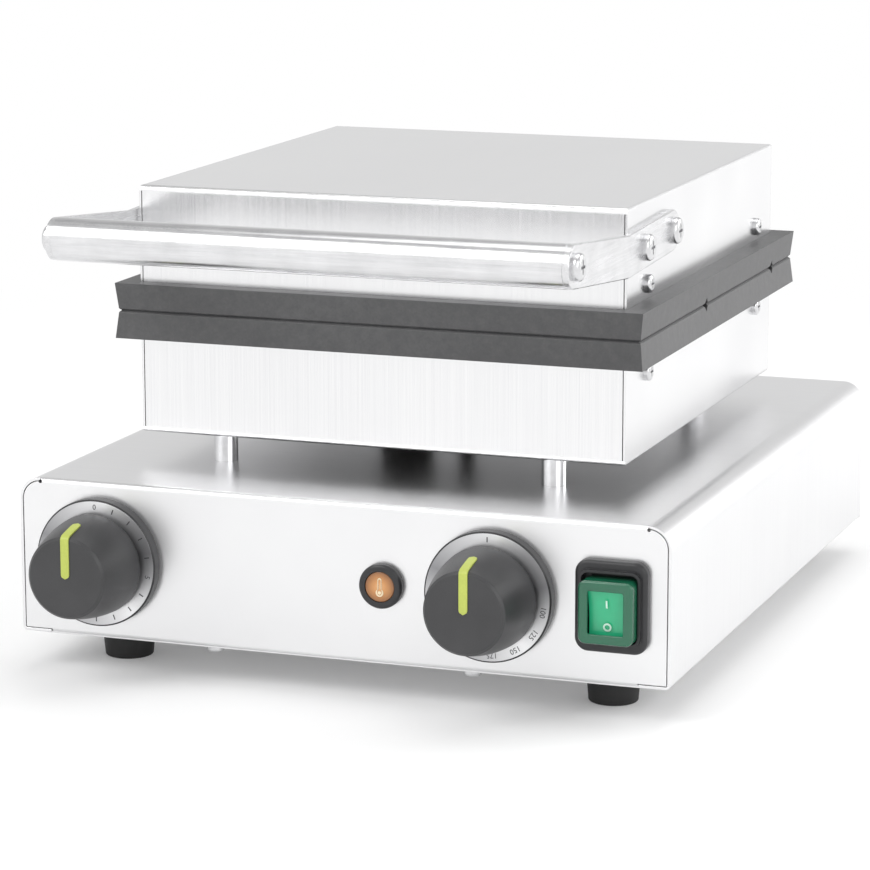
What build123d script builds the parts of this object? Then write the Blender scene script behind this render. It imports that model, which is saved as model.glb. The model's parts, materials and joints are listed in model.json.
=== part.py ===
from build123d import *
from math import cos, sin, tan, pi, radians, degrees, atan2, hypot
import os

# Table-top iron for waffles baked on sticks. Machine frame while modelling: x across from the
# middle, y back from the front face of the base, z up from the table. Sizes in millimetres.

# Base housing
base_width = 305.0
base_depth = 350.0
base_height = 71.1
base_sheet = 1.2
side_bend = 10.0
front_bend = 2.4
hem_bend = 2.0
return_width = 12.0
panel_gap = 0.4
relief_radius = 0.8
rear_sheet = 1.0
bottom_sheet = 1.0
bottom_inset = 3.0
foot_height = 16.0

# Vents of the rear panel and the bottom plate
vent_count = 9
vent_pitch = 8.0
vent_width = 3.0
vent_length = 34.0
rear_vent_inset = 82.5
rear_vent_spacing = 90.0
bottom_vent_inset = 92.5
bottom_vent_ys = (120.0, 230.0)

# Feet
foot_inset = 36.0
foot_top_dia = 25.0
foot_bottom_dia = 22.0
foot_recess_dia = 13.0
foot_recess_depth = 7.0
foot_bolt_dia = 5.0

# Heating boxes and cooking plates
box_width = 231.1
box_depth = 244.8
box_front = 53.0
box_gap = 12.9
lower_box_height = 44.3
lid_box_height = 43.4
box_sheet = 1.0
box_side_bend = 1.3
box_front_bend = 2.6
seam_gap = 0.4
plate_width = 250.4
plate_depth = 261.5
plate_front = 45.7
plate_thickness = 12.7
plate_draft = 1.4
plate_bevel = 0.9

# Waffle moulds
waffle_count = 4
waffle_pitch = 58.6
pattern_shift = 4.6
waffle_length = 184.0
waffle_width = 47.0
waffle_tip_width = 13.0
waffle_tiers = 4
tier_step = 0.30
waffle_depth = 8.0
waffle_corner = 1.6
trunk_length = 16.0
trunk_width = 18.0
block_pitch = 12.5
block_base = 7.0
block_top = 5.0
block_height = 3.8
block_margin = 3.2
stick_size = 6.4
stick_reach = 70.0
gutter_width = 4.0
gutter_depth = 1.6
gutter_inset = 5.0

# Heating parts on the back of each cooking plate
element_dia = 6.5
element_run_pitch = 46.0
element_runs = 4
element_run_length = 150.0
terminal_length = 16.0
terminal_dia = 4.0
clamp_sheet = 2.0
clamp_margin = 9.0
board_thickness = 10.0
board_margin = 9.0
plate_boss_dia = 14.0
plate_bolt_dia = 5.0
lug_size = 12.0
lug_length = 16.0

# Handle
handle_dia = 19.0
handle_wall = 1.5
handle_y = -30.0
handle_rise = 185.1
arm_thickness = 3.0
arm_width = 18.6
arm_kink_y = 46.0
arm_kink_rise = 178.0
arm_end_y = 114.8
arm_end_rise = 180.3
arm_screw_y = 71.5
plug_length = 22.0

# Hinge
hinge_y = 320.0
hinge_span = 150.0
hinge_sheet = 3.0
hinge_eye_radius = 11.0
hinge_shaft_dia = 10.0
hinge_running_gap = 0.06
hinge_side_gap = 0.4
hinge_plate_gap = 1.8
hinge_shaft_overhang = 7.0
clip_dia = 17.0
clip_thickness = 1.2
lid_open_angle = 100.0
stop_bar_dia = 8.0
stop_bar_radius = 17.0
stop_bar_angle = -115.0
heel_width = 10.0
heel_reach = 22.0
stop_gap = 0.2

# Controls
control_rise = 35.3
timer_inset = 39.2
thermostat_inset = 80.5
dial_dia = 58.0
dial_depth = 5.6
dial_wall = 1.2
dial_plate_recess = 0.6
dial_plate_thickness = 0.8
knob_skirt_dia = 46.0
knob_face_dia = 37.0
knob_front = 36.4
knob_gap = 0.8
knob_wall = 2.2
knob_boss_dia = 13.0
marker_width = 4.0
marker_relief = 0.5
marker_skirt_stop = 0.62
marker_seat = 0.05
spindle_dia = 6.0
spindle_gap = 0.05
spindle_flat = 1.4
lamp_inset = 130.6
lamp_bezel_dia = 20.0
lamp_lens_dia = 13.6
lamp_barrel_dia = 12.0
lamp_depth = 4.0
switch_inset = 25.4
switch_width = 32.4
switch_height = 40.4
switch_corner = 6.0
switch_bezel_depth = 4.6
switch_cutout_width = 22.0
switch_cutout_height = 30.0
boot_width = 25.0
boot_height = 30.0
boot_front = 12.5
boot_wall = 1.0
rocker_width = 16.5
rocker_height = 21.0
rocker_swing = 14.0
switch_body_depth = 22.0
switch_tab_length = 9.0
timer_body_size = 44.0
timer_body_depth = 34.0
thermostat_body_width = 46.0
thermostat_body_height = 36.0
thermostat_body_depth = 30.0

# Standoffs, sleeves, inlet
standoff_dia = 11.0
standoff_x = 79.2
standoff_inset = 11.5
standoff_bolt_dia = 6.0
wire_sleeve_dia = 26.0
wire_sleeve_x = -31.6
capillary_sleeve_dia = 8.0
capillary_sleeve_x = -1.0
sleeve_y = 176.0
capillary_dia = 2.5
bulb_dia = 6.0
gland_inset = 52.5
gland_rise = 26.0
gland_bore = 4.2
gland_thread_dia = 16.0
gland_hex = 20.0
gland_nose = 16.0

# Fasteners
pan_small = (4.0, 8.4, 2.6)
pan_large = (6.0, 12.0, 3.4)
bolt_clearance = 0.2
washer_thickness = 1.0
nut_width = 1.75
nut_height = 0.8

# Worked out places
timer_x = timer_inset - base_width / 2
thermostat_x = base_width / 2 - thermostat_inset
lamp_x = base_width / 2 - lamp_inset
switch_x = base_width / 2 - switch_inset
gland_x = gland_inset - base_width / 2
wall_bottom = foot_height + bottom_sheet
base_top = wall_bottom + base_height
box_bottom = base_top + box_gap
lower_plate_bottom = box_bottom + lower_box_height
parting = lower_plate_bottom + plate_thickness
upper_plate_top = parting + plate_thickness
lid_bottom = upper_plate_top + 0.0
lid_top = lid_bottom + lid_box_height + 1.0
box_back = box_front + box_depth
box_middle_y = box_front + box_depth / 2
plate_middle_y = plate_front + plate_depth / 2
handle_z = wall_bottom + handle_rise
control_z = wall_bottom + control_rise
gland_z = wall_bottom + gland_rise
arm_inner_x = box_width / 2
arm_outer_x = arm_inner_x + arm_thickness
front_reach = handle_y - handle_dia / 2
rear_reach = base_depth + gland_nose
origin_y = (front_reach + rear_reach) / 2


def solid_from(sketch, depth):
    return extrude(sketch, amount=depth)


def rod(radius, length, at, direction="Z"):
    """Round bar that starts at a point and runs along one axis."""
    turn = {"Z": (0, 0, 0), "Y": (-90, 0, 0), "X": (0, 90, 0), "-Z": (180, 0, 0), "-Y": (90, 0, 0),
            "-X": (0, -90, 0)}
    return Pos(*at) * Rot(*turn[direction]) * Cylinder(radius, length,
                                                       align=(Align.CENTER, Align.CENTER, Align.MIN))


def block(low, high):
    """Box between two corners."""
    size = [b - a for a, b in zip(low, high)]
    return Pos(*low) * Box(*size, align=(Align.MIN, Align.MIN, Align.MIN))


def profile_yz(sketch, x0, x1):
    """Sketch drawn as (y, z), extruded along x."""
    plane = Plane(origin=(x0, 0, 0), x_dir=(0, 1, 0), z_dir=(1, 0, 0))
    return extrude(plane * sketch, amount=x1 - x0)


def profile_xz(sketch, y0, y1):
    """Sketch drawn as (x, z), extruded along y."""
    plane = Plane(origin=(0, y1, 0), x_dir=(1, 0, 0), z_dir=(0, -1, 0))
    return extrude(plane * sketch, amount=y1 - y0)


def rectangle(x0, z0, x1, z1):
    return Pos((x0 + x1) / 2, (z0 + z1) / 2) * Rectangle(x1 - x0, z1 - z0)


def round_top(x0, z0, x1, z1, top_radius, low_radius=0.0):
    """Rectangle with rounded upper corners and, where asked, rounded lower ones."""
    shape = rectangle(x0, z0, x1, z1)
    if top_radius > 0:
        shape = fillet(shape.vertices().group_by(Axis.Y)[-1], top_radius)
    if low_radius > 0:
        shape = fillet(shape.vertices().group_by(Axis.Y)[0], low_radius)
    return shape


def folded_outer(x_half, y0, y1, z0, z1, side_radius, front_radius):
    """Closed block whose upper edges are rounded, mitred where they meet."""
    along = profile_xz(round_top(-x_half, z0, x_half, z1, side_radius), y0, y1)
    across = profile_yz(round_top(y0, z0, y1, z1, front_radius), -x_half, x_half)
    return along & across


def ring_of(radius_out, radius_in, length, at, direction):
    return rod(radius_out, length, at, direction) - rod(radius_in, length, at, direction)


def hex_nut(size, at, direction):
    """Hexagon nut for a thread of the given size."""
    turn = {"Z": (0, 0, 0), "-Z": (180, 0, 0), "Y": (-90, 0, 0), "-Y": (90, 0, 0), "X": (0, 90, 0),
            "-X": (0, -90, 0)}
    prism = extrude(RegularPolygon(size * nut_width / 2, 6), amount=size * nut_height)
    return Pos(*at) * Rot(*turn[direction]) * (prism - Cylinder(size / 2 + 0.02, size * 3))


def pan_screw(sizes, at, direction, length, washer=0.0):
    """Domed screw whose head's underside lies at the point; the shank runs along the direction."""
    size, head_dia, head_height = sizes
    turn = {"Z": (0, 0, 0), "-Z": (180, 0, 0), "Y": (-90, 0, 0), "-Y": (90, 0, 0), "X": (0, 90, 0),
            "-X": (0, -90, 0)}
    head = Pos(0, 0, -head_height - washer) * Cylinder(head_dia / 2, head_height,
                                                       align=(Align.CENTER, Align.CENTER, Align.MIN))
    head = fillet(head.edges().group_by(Axis.Z)[0], head_height * 0.55)
    slot_length = head_dia * 0.5
    slot_depth = head_height * 0.45
    slots = Box(slot_length, head_dia * 0.1, slot_depth) + Box(head_dia * 0.1, slot_length, slot_depth)
    head -= Pos(0, 0, -head_height - washer + slot_depth / 2) * slots
    shank = Cylinder(size / 2, length + washer, align=(Align.CENTER, Align.CENTER, Align.MIN))
    body = head + Pos(0, 0, -washer) * shank
    if washer:
        body += Pos(0, 0, -washer) * Cylinder(head_dia * 0.56, washer,
                                              align=(Align.CENTER, Align.CENTER, Align.MIN))
    return Pos(*at) * Rot(*turn[direction]) * body


def grid_points(xs, ys):
    return [(x, y) for x in xs for y in ys]


foot_xs = [-base_width / 2 + foot_inset, base_width / 2 - foot_inset]
foot_ys = [foot_inset, base_depth - foot_inset]
standoff_ys = [box_front + standoff_inset, box_back - standoff_inset]
standoff_places = grid_points([-standoff_x, standoff_x], standoff_ys)
switch_z = control_z
dial_screw_offset = 14.0
control_screw_dia = 4.0


def control_hole_cutters():
    """Holes of the front face: spindles, their screws, lamp and switch."""
    cutters = []
    for x in (timer_x, thermostat_x):
        cutters.append(rod(5.2, base_sheet + 2, (x, -1, control_z), "Y"))
        for side in (-1, 1):
            at = (x + side * dial_screw_offset, -1, control_z)
            cutters.append(rod(control_screw_dia / 2 + bolt_clearance, base_sheet + 2, at, "Y"))
    cutters.append(rod(lamp_barrel_dia / 2 + bolt_clearance, base_sheet + 2, (lamp_x, -1, control_z), "Y"))
    half_w = switch_cutout_width / 2
    half_h = switch_cutout_height / 2
    cutters.append(block((switch_x - half_w, -1, switch_z - half_h),
                         (switch_x + half_w, base_sheet + 1, switch_z + half_h)))
    return cutters


def make_base_shell():
    """Wrap of sides and top, with the front folded down from the top and nested in the sides."""
    half = base_width / 2
    wrap_back = base_depth - rear_sheet
    outer = round_top(-half, wall_bottom, half, base_top, side_bend, hem_bend)
    inner = round_top(-half + base_sheet, wall_bottom + base_sheet, half - base_sheet,
                      base_top - base_sheet,
                      side_bend - base_sheet, hem_bend - base_sheet)
    mouth = rectangle(-half + hem_bend + return_width, wall_bottom - 1, half - hem_bend - return_width,
                      wall_bottom + base_sheet + 1)
    shell = profile_xz(outer - inner - mouth, 0, wrap_back)
    straight = half - side_bend
    shell -= block((-straight, -1, base_top - base_sheet - 0.01), (straight, front_bend, base_top + 1))
    nest = half - base_sheet - panel_gap
    front = round_top(-nest, wall_bottom, nest, base_top - base_sheet - panel_gap,
                      side_bend - base_sheet - panel_gap)
    front -= rectangle(-straight, base_top - front_bend, straight, base_top)
    shell_front = profile_xz(front, 0, base_sheet)
    bend = Circle(front_bend) - Circle(front_bend - base_sheet)
    bend &= rectangle(-front_bend, 0, 0, front_bend)
    shell_front += profile_yz(Pos(front_bend, base_top - front_bend) * bend, -straight, straight)
    low_trim = block((-half, -1, wall_bottom - 1), (half, base_sheet + 1, wall_bottom + hem_bend))
    shell_front -= low_trim
    hem = Circle(hem_bend) - Circle(hem_bend - base_sheet)
    hem &= rectangle(-hem_bend, -hem_bend, 0, 0)
    hem += rectangle(0, -hem_bend, return_width, -hem_bend + base_sheet)
    hem_half = half - hem_bend - return_width - panel_gap
    shell_front += profile_yz(Pos(hem_bend, wall_bottom + hem_bend) * hem, -hem_half, hem_half)
    side_foot = half - base_sheet - panel_gap
    for side in (-1, 1):
        x0, x1 = sorted((side * hem_half, side * side_foot))
        shell_front += block((x0, 0, wall_bottom + base_sheet + panel_gap),
                             (x1, base_sheet, wall_bottom + hem_bend))
    shell += shell_front
    for side in (-1, 1):
        notch = rod(relief_radius, front_bend + 1, (side * straight, -1, base_top - front_bend * 0.7), "Y")
        shell -= notch
    flange_y = wrap_back - base_sheet
    for side in (-1, 1):
        x0, x1 = sorted((side * (half - base_sheet), side * (half - hem_bend - return_width)))
        shell += block((x0, flange_y, wall_bottom + base_sheet + 2), (x1, wrap_back, base_top - side_bend))
    for cutter in control_hole_cutters():
        shell -= cutter
    for x, y in standoff_places:
        shell -= rod(standoff_bolt_dia / 2 + bolt_clearance, 6, (x, y, base_top - 3))
    shell -= rod(wire_sleeve_dia / 2 - 3, 6, (wire_sleeve_x, sleeve_y, base_top - 3))
    shell -= rod(capillary_sleeve_dia / 2 - 1.5, 6, (capillary_sleeve_x, sleeve_y, base_top - 3))
    for x, y in bottom_screw_places():
        shell -= rod(pan_small[0] / 2 + 0.02, 6, (x, y, wall_bottom - 2))
    for x, z in rear_screw_places():
        shell -= rod(pan_small[0] / 2 + 0.02, 6, (x, base_depth - 4, z), "Y")
    return shell


def bottom_screw_places():
    edge = base_width / 2 - hem_bend - return_width / 2
    front = hem_bend + return_width / 2
    sides = grid_points([-edge, edge], [base_depth * 0.28, base_depth * 0.72])
    return sides + [(-base_width / 5, front), (base_width / 5, front)]


def rear_screw_places():
    edge = base_width / 2 - base_sheet - return_width / 2
    return grid_points([-edge, edge], [wall_bottom + 14, base_top - 20])




def vent_sketch(middle_x, middle_z):
    slots = Sketch()
    for i in range(vent_count):
        x = middle_x + (i - (vent_count - 1) / 2) * vent_pitch
        slots += Pos(x, middle_z) * Rot(0, 0, 90) * SlotOverall(vent_length, vent_width)
    return slots


def make_rear_panel():
    half = base_width / 2 - panel_gap
    shape = round_top(-half, wall_bottom + panel_gap, half, base_top - panel_gap, side_bend - panel_gap)
    right_vent = base_width / 2 - rear_vent_inset
    for x in (right_vent - rear_vent_spacing, right_vent):
        shape -= vent_sketch(x, control_z)
    panel = profile_xz(shape, base_depth - rear_sheet, base_depth)
    panel -= rod(gland_thread_dia / 2 + bolt_clearance, 4, (gland_x, base_depth - 2, gland_z), "Y")
    for x, z in rear_screw_places():
        panel -= rod(pan_small[0] / 2 + bolt_clearance, 4, (x, base_depth - 2, z), "Y")
    return panel


def make_bottom_plate():
    half = base_width / 2 - bottom_inset
    shape = rectangle(-half, bottom_inset, half, base_depth - bottom_inset)
    shape = fillet(shape.vertices(), 4)
    vent_x = base_width / 2 - bottom_vent_inset
    for x, y in grid_points((-vent_x, vent_x), bottom_vent_ys):
        shape -= vent_sketch(x, y)
    plate = Pos(0, 0, foot_height) * extrude(shape, amount=bottom_sheet)
    for x, y in bottom_screw_places():
        plate -= rod(pan_small[0] / 2 + bolt_clearance, 6, (x, y, foot_height - 2))
    for x, y in grid_points(foot_xs, foot_ys):
        plate -= rod(foot_bolt_dia / 2 + bolt_clearance, 6, (x, y, foot_height - 2))
    return plate


def make_foot(x, y):
    foot = Pos(x, y, 0) * Cone(foot_bottom_dia / 2, foot_top_dia / 2, foot_height,
                               align=(Align.CENTER, Align.CENTER, Align.MIN))
    foot = fillet(foot.edges().group_by(Axis.Z)[0], 1.0)
    foot -= rod(foot_recess_dia / 2, foot_recess_depth, (x, y, 0))
    foot -= rod(foot_bolt_dia / 2 + bolt_clearance, foot_height + 2, (x, y, -1))
    return foot


def fir_outline():
    """Fir tree along +x, trunk end at 0: tiers of boughs that narrow to the tip."""
    boughs = waffle_length - trunk_length
    step = boughs / waffle_tiers
    upper = [(0, trunk_width / 2), (trunk_length, trunk_width / 2)]
    for tier in range(waffle_tiers):
        share = tier / (waffle_tiers - 1)
        wide = waffle_width / 2 + (waffle_tip_width - waffle_width / 2) * share
        x0 = trunk_length + tier * step
        narrow = wide * (1 - tier_step) if tier < waffle_tiers - 1 else waffle_tip_width * 0.3
        upper += [(x0, wide), (x0 + step * 0.92, narrow)]
    points = upper + [(x, -y) for x, y in reversed(upper)]
    shape = make_face(Polyline(*points, close=True))
    return shape


def half_width_at(x):
    """Half width of the fir at a distance from the trunk end."""
    boughs = waffle_length - trunk_length
    step = boughs / waffle_tiers
    if x < trunk_length:
        return trunk_width / 2
    tier = min(int((x - trunk_length) / step), waffle_tiers - 1)
    share = tier / (waffle_tiers - 1)
    wide = waffle_width / 2 + (waffle_tip_width - waffle_width / 2) * share
    narrow = wide * (1 - tier_step) if tier < waffle_tiers - 1 else waffle_tip_width * 0.3
    along = min(1.0, (x - trunk_length - tier * step) / (step * 0.92))
    return wide + (narrow - wide) * along


def waffle_cutter():
    """One mould cavity below z = 0: drafted fir with grid blocks left standing on its floor."""
    outline = fir_outline()
    floor = offset(outline, amount=-waffle_depth * 0.12, kind=Kind.INTERSECTION)
    cavity = loft([Pos(0, 0, -waffle_depth) * floor, Pos(0, 0, 0.0) * outline])
    frustum = loft([Pos(0, 0, -waffle_depth - 0.5) * Rectangle(block_base, block_base),
                    Pos(0, 0, block_height - waffle_depth) * Rectangle(block_top, block_top)])
    rows = int(waffle_length / block_pitch)
    blocks = []
    for i in range(rows):
        x = trunk_length / 2 + block_pitch * i + 4.0
        reach = min(half_width_at(x - block_base / 2), half_width_at(x + block_base / 2))
        lanes = int((reach - block_margin - block_base / 2) / block_pitch)
        if reach < block_margin + block_base / 2 or x > waffle_length - block_base:
            continue
        for j in range(-lanes, lanes + 1):
            on_stick = j == 0 and x < stick_reach - plate_width / 2 + waffle_length / 2
            if not on_stick:
                blocks.append(Pos(x, j * block_pitch, 0) * frustum)
    return cavity - Compound(blocks) if blocks else cavity


def stick_cutter(length):
    """Square bar laid on its edge along +x."""
    side = stick_size / 2 ** 0.5
    return Pos(length / 2, 0, 0) * Rot(45, 0, 0) * Box(length, side, side)


def make_cooking_plate():
    """Lower cooking plate with its cooking face at the parting plane."""
    half = plate_width / 2
    y0, y1 = plate_front, plate_front + plate_depth
    lower = Pos(0, plate_middle_y, lower_plate_bottom) * Rectangle(plate_width, plate_depth)
    upper = Pos(0, plate_middle_y, parting) * Rectangle(plate_width - 2 * plate_draft,
                                                        plate_depth - 2 * plate_draft)
    plate = loft([lower, upper])
    plate = chamfer(plate.edges().group_by(Axis.Z)[-1], plate_bevel)
    rim_w = plate_width - 2 * plate_draft - 2 * gutter_inset
    rim_d = plate_depth - 2 * plate_draft - 2 * gutter_inset
    gutter = Rectangle(rim_w, rim_d) - Rectangle(rim_w - 2 * gutter_width, rim_d - 2 * gutter_width)
    plate -= Pos(0, plate_middle_y, parting - gutter_depth) * extrude(gutter, amount=gutter_depth + 1)
    cutter = waffle_cutter()
    stick_length = half - waffle_length / 2 + stick_reach
    for i in range(waffle_count):
        facing = 180 if i % 2 else 0
        y = plate_middle_y + pattern_shift + (i - (waffle_count - 1) / 2) * waffle_pitch
        place = Pos(0, y, parting) * Rot(0, 0, facing)
        plate -= place * Pos(-waffle_length / 2, 0, 0) * cutter
        plate -= place * Pos(-half - 1, 0, 0) * stick_cutter(stick_length)
    for x, y in clamp_bolt_places():
        boss = rod(plate_boss_dia / 2, element_dia, (x, y, lower_plate_bottom), "-Z")
        plate += boss - rod(plate_bolt_dia / 2 + 0.02, element_dia - 0.5,
                            (x, y, lower_plate_bottom - element_dia))
    for x, y, side in lug_places():
        x0, x1 = sorted((side * (box_width / 2 - box_sheet), side * (box_width / 2 - box_sheet - lug_size)))
        lug = block((x0, y - lug_length / 2, lower_plate_bottom - lug_size),
                    (x1, y + lug_length / 2, lower_plate_bottom))
        direction = "-X" if side > 0 else "X"
        hole = rod(pan_small[0] / 2 + 0.02, lug_size - 2,
                   (side * (box_width / 2 - box_sheet), y, casing_screw_z), direction)
        plate += lug - hole
    return plate


casing_screw_drop = 7.0
casing_screw_z = lower_plate_bottom - casing_screw_drop
casing_screw_ys = [box_front + 31.2, box_back - 29.2]


def lug_places():
    return [(side * box_width / 2, y, side) for side in (-1, 1) for y in casing_screw_ys]


def clamp_bolt_places():
    return grid_points([-element_run_pitch, 0.0, element_run_pitch],
                       [box_middle_y - 92.0, box_middle_y + 92.0])


def flip(shape):
    """Mirror in the parting plane, from the lower box to the lid."""
    return mirror(shape, about=Plane(origin=(0, 0, parting)))


def folded_box(height, z0):
    """Open-topped folded casing with a seam at each upright corner."""
    half = box_width / 2
    outer = folded_outer(half, box_front, box_back, z0 - height, z0, box_side_bend, box_front_bend)
    inner = folded_outer(half - box_sheet, box_front + box_sheet, box_back - box_sheet, z0 - height - 1,
                         z0 - box_sheet, max(box_side_bend - box_sheet, 0.2), box_front_bend - box_sheet)
    shell = outer - inner
    for sx in (-1, 1):
        x0, x1 = sorted((sx * (half - box_sheet), sx * (half - box_sheet - seam_gap)))
        for y in (box_front, box_back - box_sheet):
            shell -= block((x0, y - 0.1, z0 - height - 1), (x1, y + box_sheet + 0.1, z0 - box_front_bend))
    return shell


def casing_side_holes(shell, z, places):
    for x, y in places:
        shell -= rod(pan_small[0] / 2 + bolt_clearance, 6, (x - 3, y, z), "X")
    return shell


def make_lower_casing():
    upright = folded_box(lower_box_height, lower_plate_bottom)
    shell = mirror(upright, about=Plane(origin=(0, 0, (box_bottom + lower_plate_bottom) / 2)))
    shell = casing_side_holes(shell, casing_screw_z,
                              [(s * box_width / 2, y) for s in (-1, 1) for y in casing_screw_ys])
    for x, y in standoff_places:
        shell -= rod(standoff_bolt_dia / 2 + bolt_clearance, 6, (x, y, box_bottom - 3))
    shell -= rod(wire_sleeve_dia / 2 - 3, 6, (wire_sleeve_x, sleeve_y, box_bottom - 3))
    shell -= rod(capillary_sleeve_dia / 2 - 1.5, 6, (capillary_sleeve_x, sleeve_y, box_bottom - 3))
    for x, z in base_bracket_bolts():
        shell -= rod(hinge_bolt_dia / 2 + bolt_clearance, 6, (x, box_back - 3, z), "Y")
    return shell


def make_lid_casing():
    shell = folded_box(lid_top - upper_plate_top, lid_top)
    lid_screw_z = 2 * parting - casing_screw_z
    shell = casing_side_holes(shell, lid_screw_z,
                              [(s * box_width / 2, y) for s in (-1, 1) for y in casing_screw_ys])
    for side in (-1, 1):
        for y, z in arm_screw_places():
            shell -= rod(pan_large[0] / 2 + bolt_clearance, 6, (side * box_width / 2 - 3, y, z), "X")
    for x, z in lid_bracket_bolts():
        shell -= rod(hinge_bolt_dia / 2 + bolt_clearance, 6, (x, box_back - 3, z), "Y")
    return shell


hinge_bolt_dia = 5.0
bracket_web_low = 8.0
bracket_web_high = 3.0
bracket_web_reach = 7.0


def base_bracket_bolts():
    z = (box_bottom + bracket_web_low + lower_plate_bottom - bracket_web_high) / 2
    return [(x, z) for x in (-hinge_span / 2 + 22, 0, hinge_span / 2 - 22)]


def lid_bracket_bolts():
    z = (upper_plate_top + bracket_web_high + lid_top - bracket_web_low) / 2
    return [(x, z) for x in (-hinge_span / 2 + 30, 0, hinge_span / 2 - 30)]


def ear_outline(web_low, web_high, sense):
    """Side view of a hinge ear: eye round the axis, neck behind the plate and foot on the web."""
    front = hinge_y - hinge_eye_radius
    back = hinge_y + hinge_eye_radius
    ears = [(box_back, web_low), (box_back, web_high), (front, web_high), (front, parting), (back, parting)]
    bend_z = web_high - sense * 6.0
    ears += [(back, bend_z), (hinge_y - 4, web_low)]
    return make_face(Polyline(*ears, close=True)) + Pos(hinge_y, parting) * Circle(hinge_eye_radius)


def stop_bar_place():
    angle = radians(stop_bar_angle)
    return hinge_y + stop_bar_radius * cos(angle), parting + stop_bar_radius * sin(angle)


def make_base_bracket():
    low = box_bottom + bracket_web_low
    high = lower_plate_bottom - bracket_web_high
    half = hinge_span / 2
    web = block((-half, box_back, low), (half, box_back + hinge_sheet, high))
    bar_y, bar_z = stop_bar_place()
    bracket = web
    for side in (-1, 1):
        x0, x1 = sorted((side * half, side * (half - hinge_sheet)))
        bracket += profile_yz(ear_outline(low, high, 1), x0, x1)
    bracket -= rod(hinge_shaft_dia / 2 + 0.02, hinge_span + 2, (-half - 1, hinge_y, parting), "X")
    bracket -= rod(stop_bar_dia / 2 - 1.5 + 0.02, hinge_span + 2, (-half - 1, bar_y, bar_z), "X")
    for x, z in base_bracket_bolts():
        bracket -= rod(hinge_bolt_dia / 2 + bolt_clearance, 8, (x, box_back - 2, z), "Y")
    return bracket


def make_lid_bracket():
    low = upper_plate_top + bracket_web_high
    high = lid_top - bracket_web_low
    half = hinge_span / 2 - hinge_sheet - hinge_side_gap
    bracket = block((-half, box_back, low), (half, box_back + hinge_sheet, high))
    lean = degrees(asin_of((stop_bar_dia / 2 + heel_width / 2 + stop_gap) / stop_bar_radius))
    heel_angle = stop_bar_angle + lean + lid_open_angle
    heel = Rot(0, 0, heel_angle) * Pos(heel_reach / 2, 0) * Rectangle(heel_reach, heel_width)
    outline = ear_outline(high, low, -1) + Pos(hinge_y, parting) * heel
    for side in (-1, 1):
        x0, x1 = sorted((side * half, side * (half - hinge_sheet)))
        bracket += profile_yz(outline, x0, x1)
    bracket -= rod(hinge_shaft_dia / 2 + hinge_running_gap, hinge_span, (-half - 1, hinge_y, parting), "X")
    for x, z in lid_bracket_bolts():
        bracket -= rod(hinge_bolt_dia / 2 + bolt_clearance, 8, (x, box_back - 2, z), "Y")
    return bracket


def asin_of(value):
    return atan2(value, (1 - value * value) ** 0.5)


def make_hinge_shaft():
    length = hinge_span + 2 * hinge_shaft_overhang
    shaft = rod(hinge_shaft_dia / 2, length, (-length / 2, hinge_y, parting), "X")
    shaft = chamfer(shaft.edges(), 0.8)
    for side in (-1, 1):
        x = side * (hinge_span / 2 + 0.3 + clip_thickness / 2)
        groove = ring_of(hinge_shaft_dia, hinge_shaft_dia / 2 - 0.8, clip_thickness + 0.2,
                         (x - clip_thickness / 2 - 0.1, hinge_y, parting), "X")
        shaft -= groove
    return shaft


def make_shaft_clips():
    clips = []
    for side in (-1, 1):
        x = side * (hinge_span / 2 + 0.3 + clip_thickness / 2) - clip_thickness / 2
        clip = ring_of(clip_dia / 2, hinge_shaft_dia / 2 - 0.75, clip_thickness, (x, hinge_y, parting), "X")
        clip -= block((x - 1, hinge_y - 2.2, parting),
                      (x + clip_thickness + 1, hinge_y + 2.2, parting + clip_dia))
        clips.append(clip)
    return clips


def make_stop_bar():
    bar_y, bar_z = stop_bar_place()
    inner = hinge_span / 2 - hinge_sheet
    bar = rod(stop_bar_dia / 2, 2 * inner, (-inner, bar_y, bar_z), "X")
    neck = hinge_span + 3.0
    return bar + rod(stop_bar_dia / 2 - 1.5, neck, (-neck / 2, bar_y, bar_z), "X")


def element_path():
    """Serpentine of equal runs, its two ends brought to the same side."""
    xs = [(i - (element_runs - 1) / 2) * element_run_pitch + 0.0 for i in range(element_runs)]
    half = element_run_length / 2
    points = []
    for i, x in enumerate(xs):
        ends = [(x, box_middle_y - half), (x, box_middle_y + half)]
        points += ends if i % 2 == 0 else ends[::-1]
    return points


def make_element():
    z = lower_plate_bottom - element_dia / 2
    points = [(x, y, z) for x, y in element_path()]
    wire = FilletPolyline(*points, radius=element_run_pitch / 2 - 2)
    section = Plane(origin=wire @ 0, z_dir=wire % 0) * Circle(element_dia / 2)
    heater = sweep(section, path=wire)
    for point, sense in ((points[0], "-Y"), (points[-1], "-Y")):
        direction = "-Y" if point[1] < box_middle_y else "Y"
        heater += rod(terminal_dia / 2, terminal_length, point, direction)
    return heater


def make_clamp_plate():
    top = lower_plate_bottom - element_dia
    half_x = box_width / 2 - box_sheet - clamp_margin - lug_size
    half_y = box_depth / 2 - box_sheet - clamp_margin
    shape = fillet(Rectangle(2 * half_x, 2 * half_y).vertices(), 6)
    plate = Pos(0, box_middle_y, top - clamp_sheet) * extrude(shape, amount=clamp_sheet)
    for x, y in clamp_bolt_places():
        plate -= rod(plate_bolt_dia / 2 + bolt_clearance, 6, (x, y, top - 4))
    return plate - rod(capillary_dia, 6, (capillary_sleeve_x, sleeve_y, top - 4))


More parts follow.
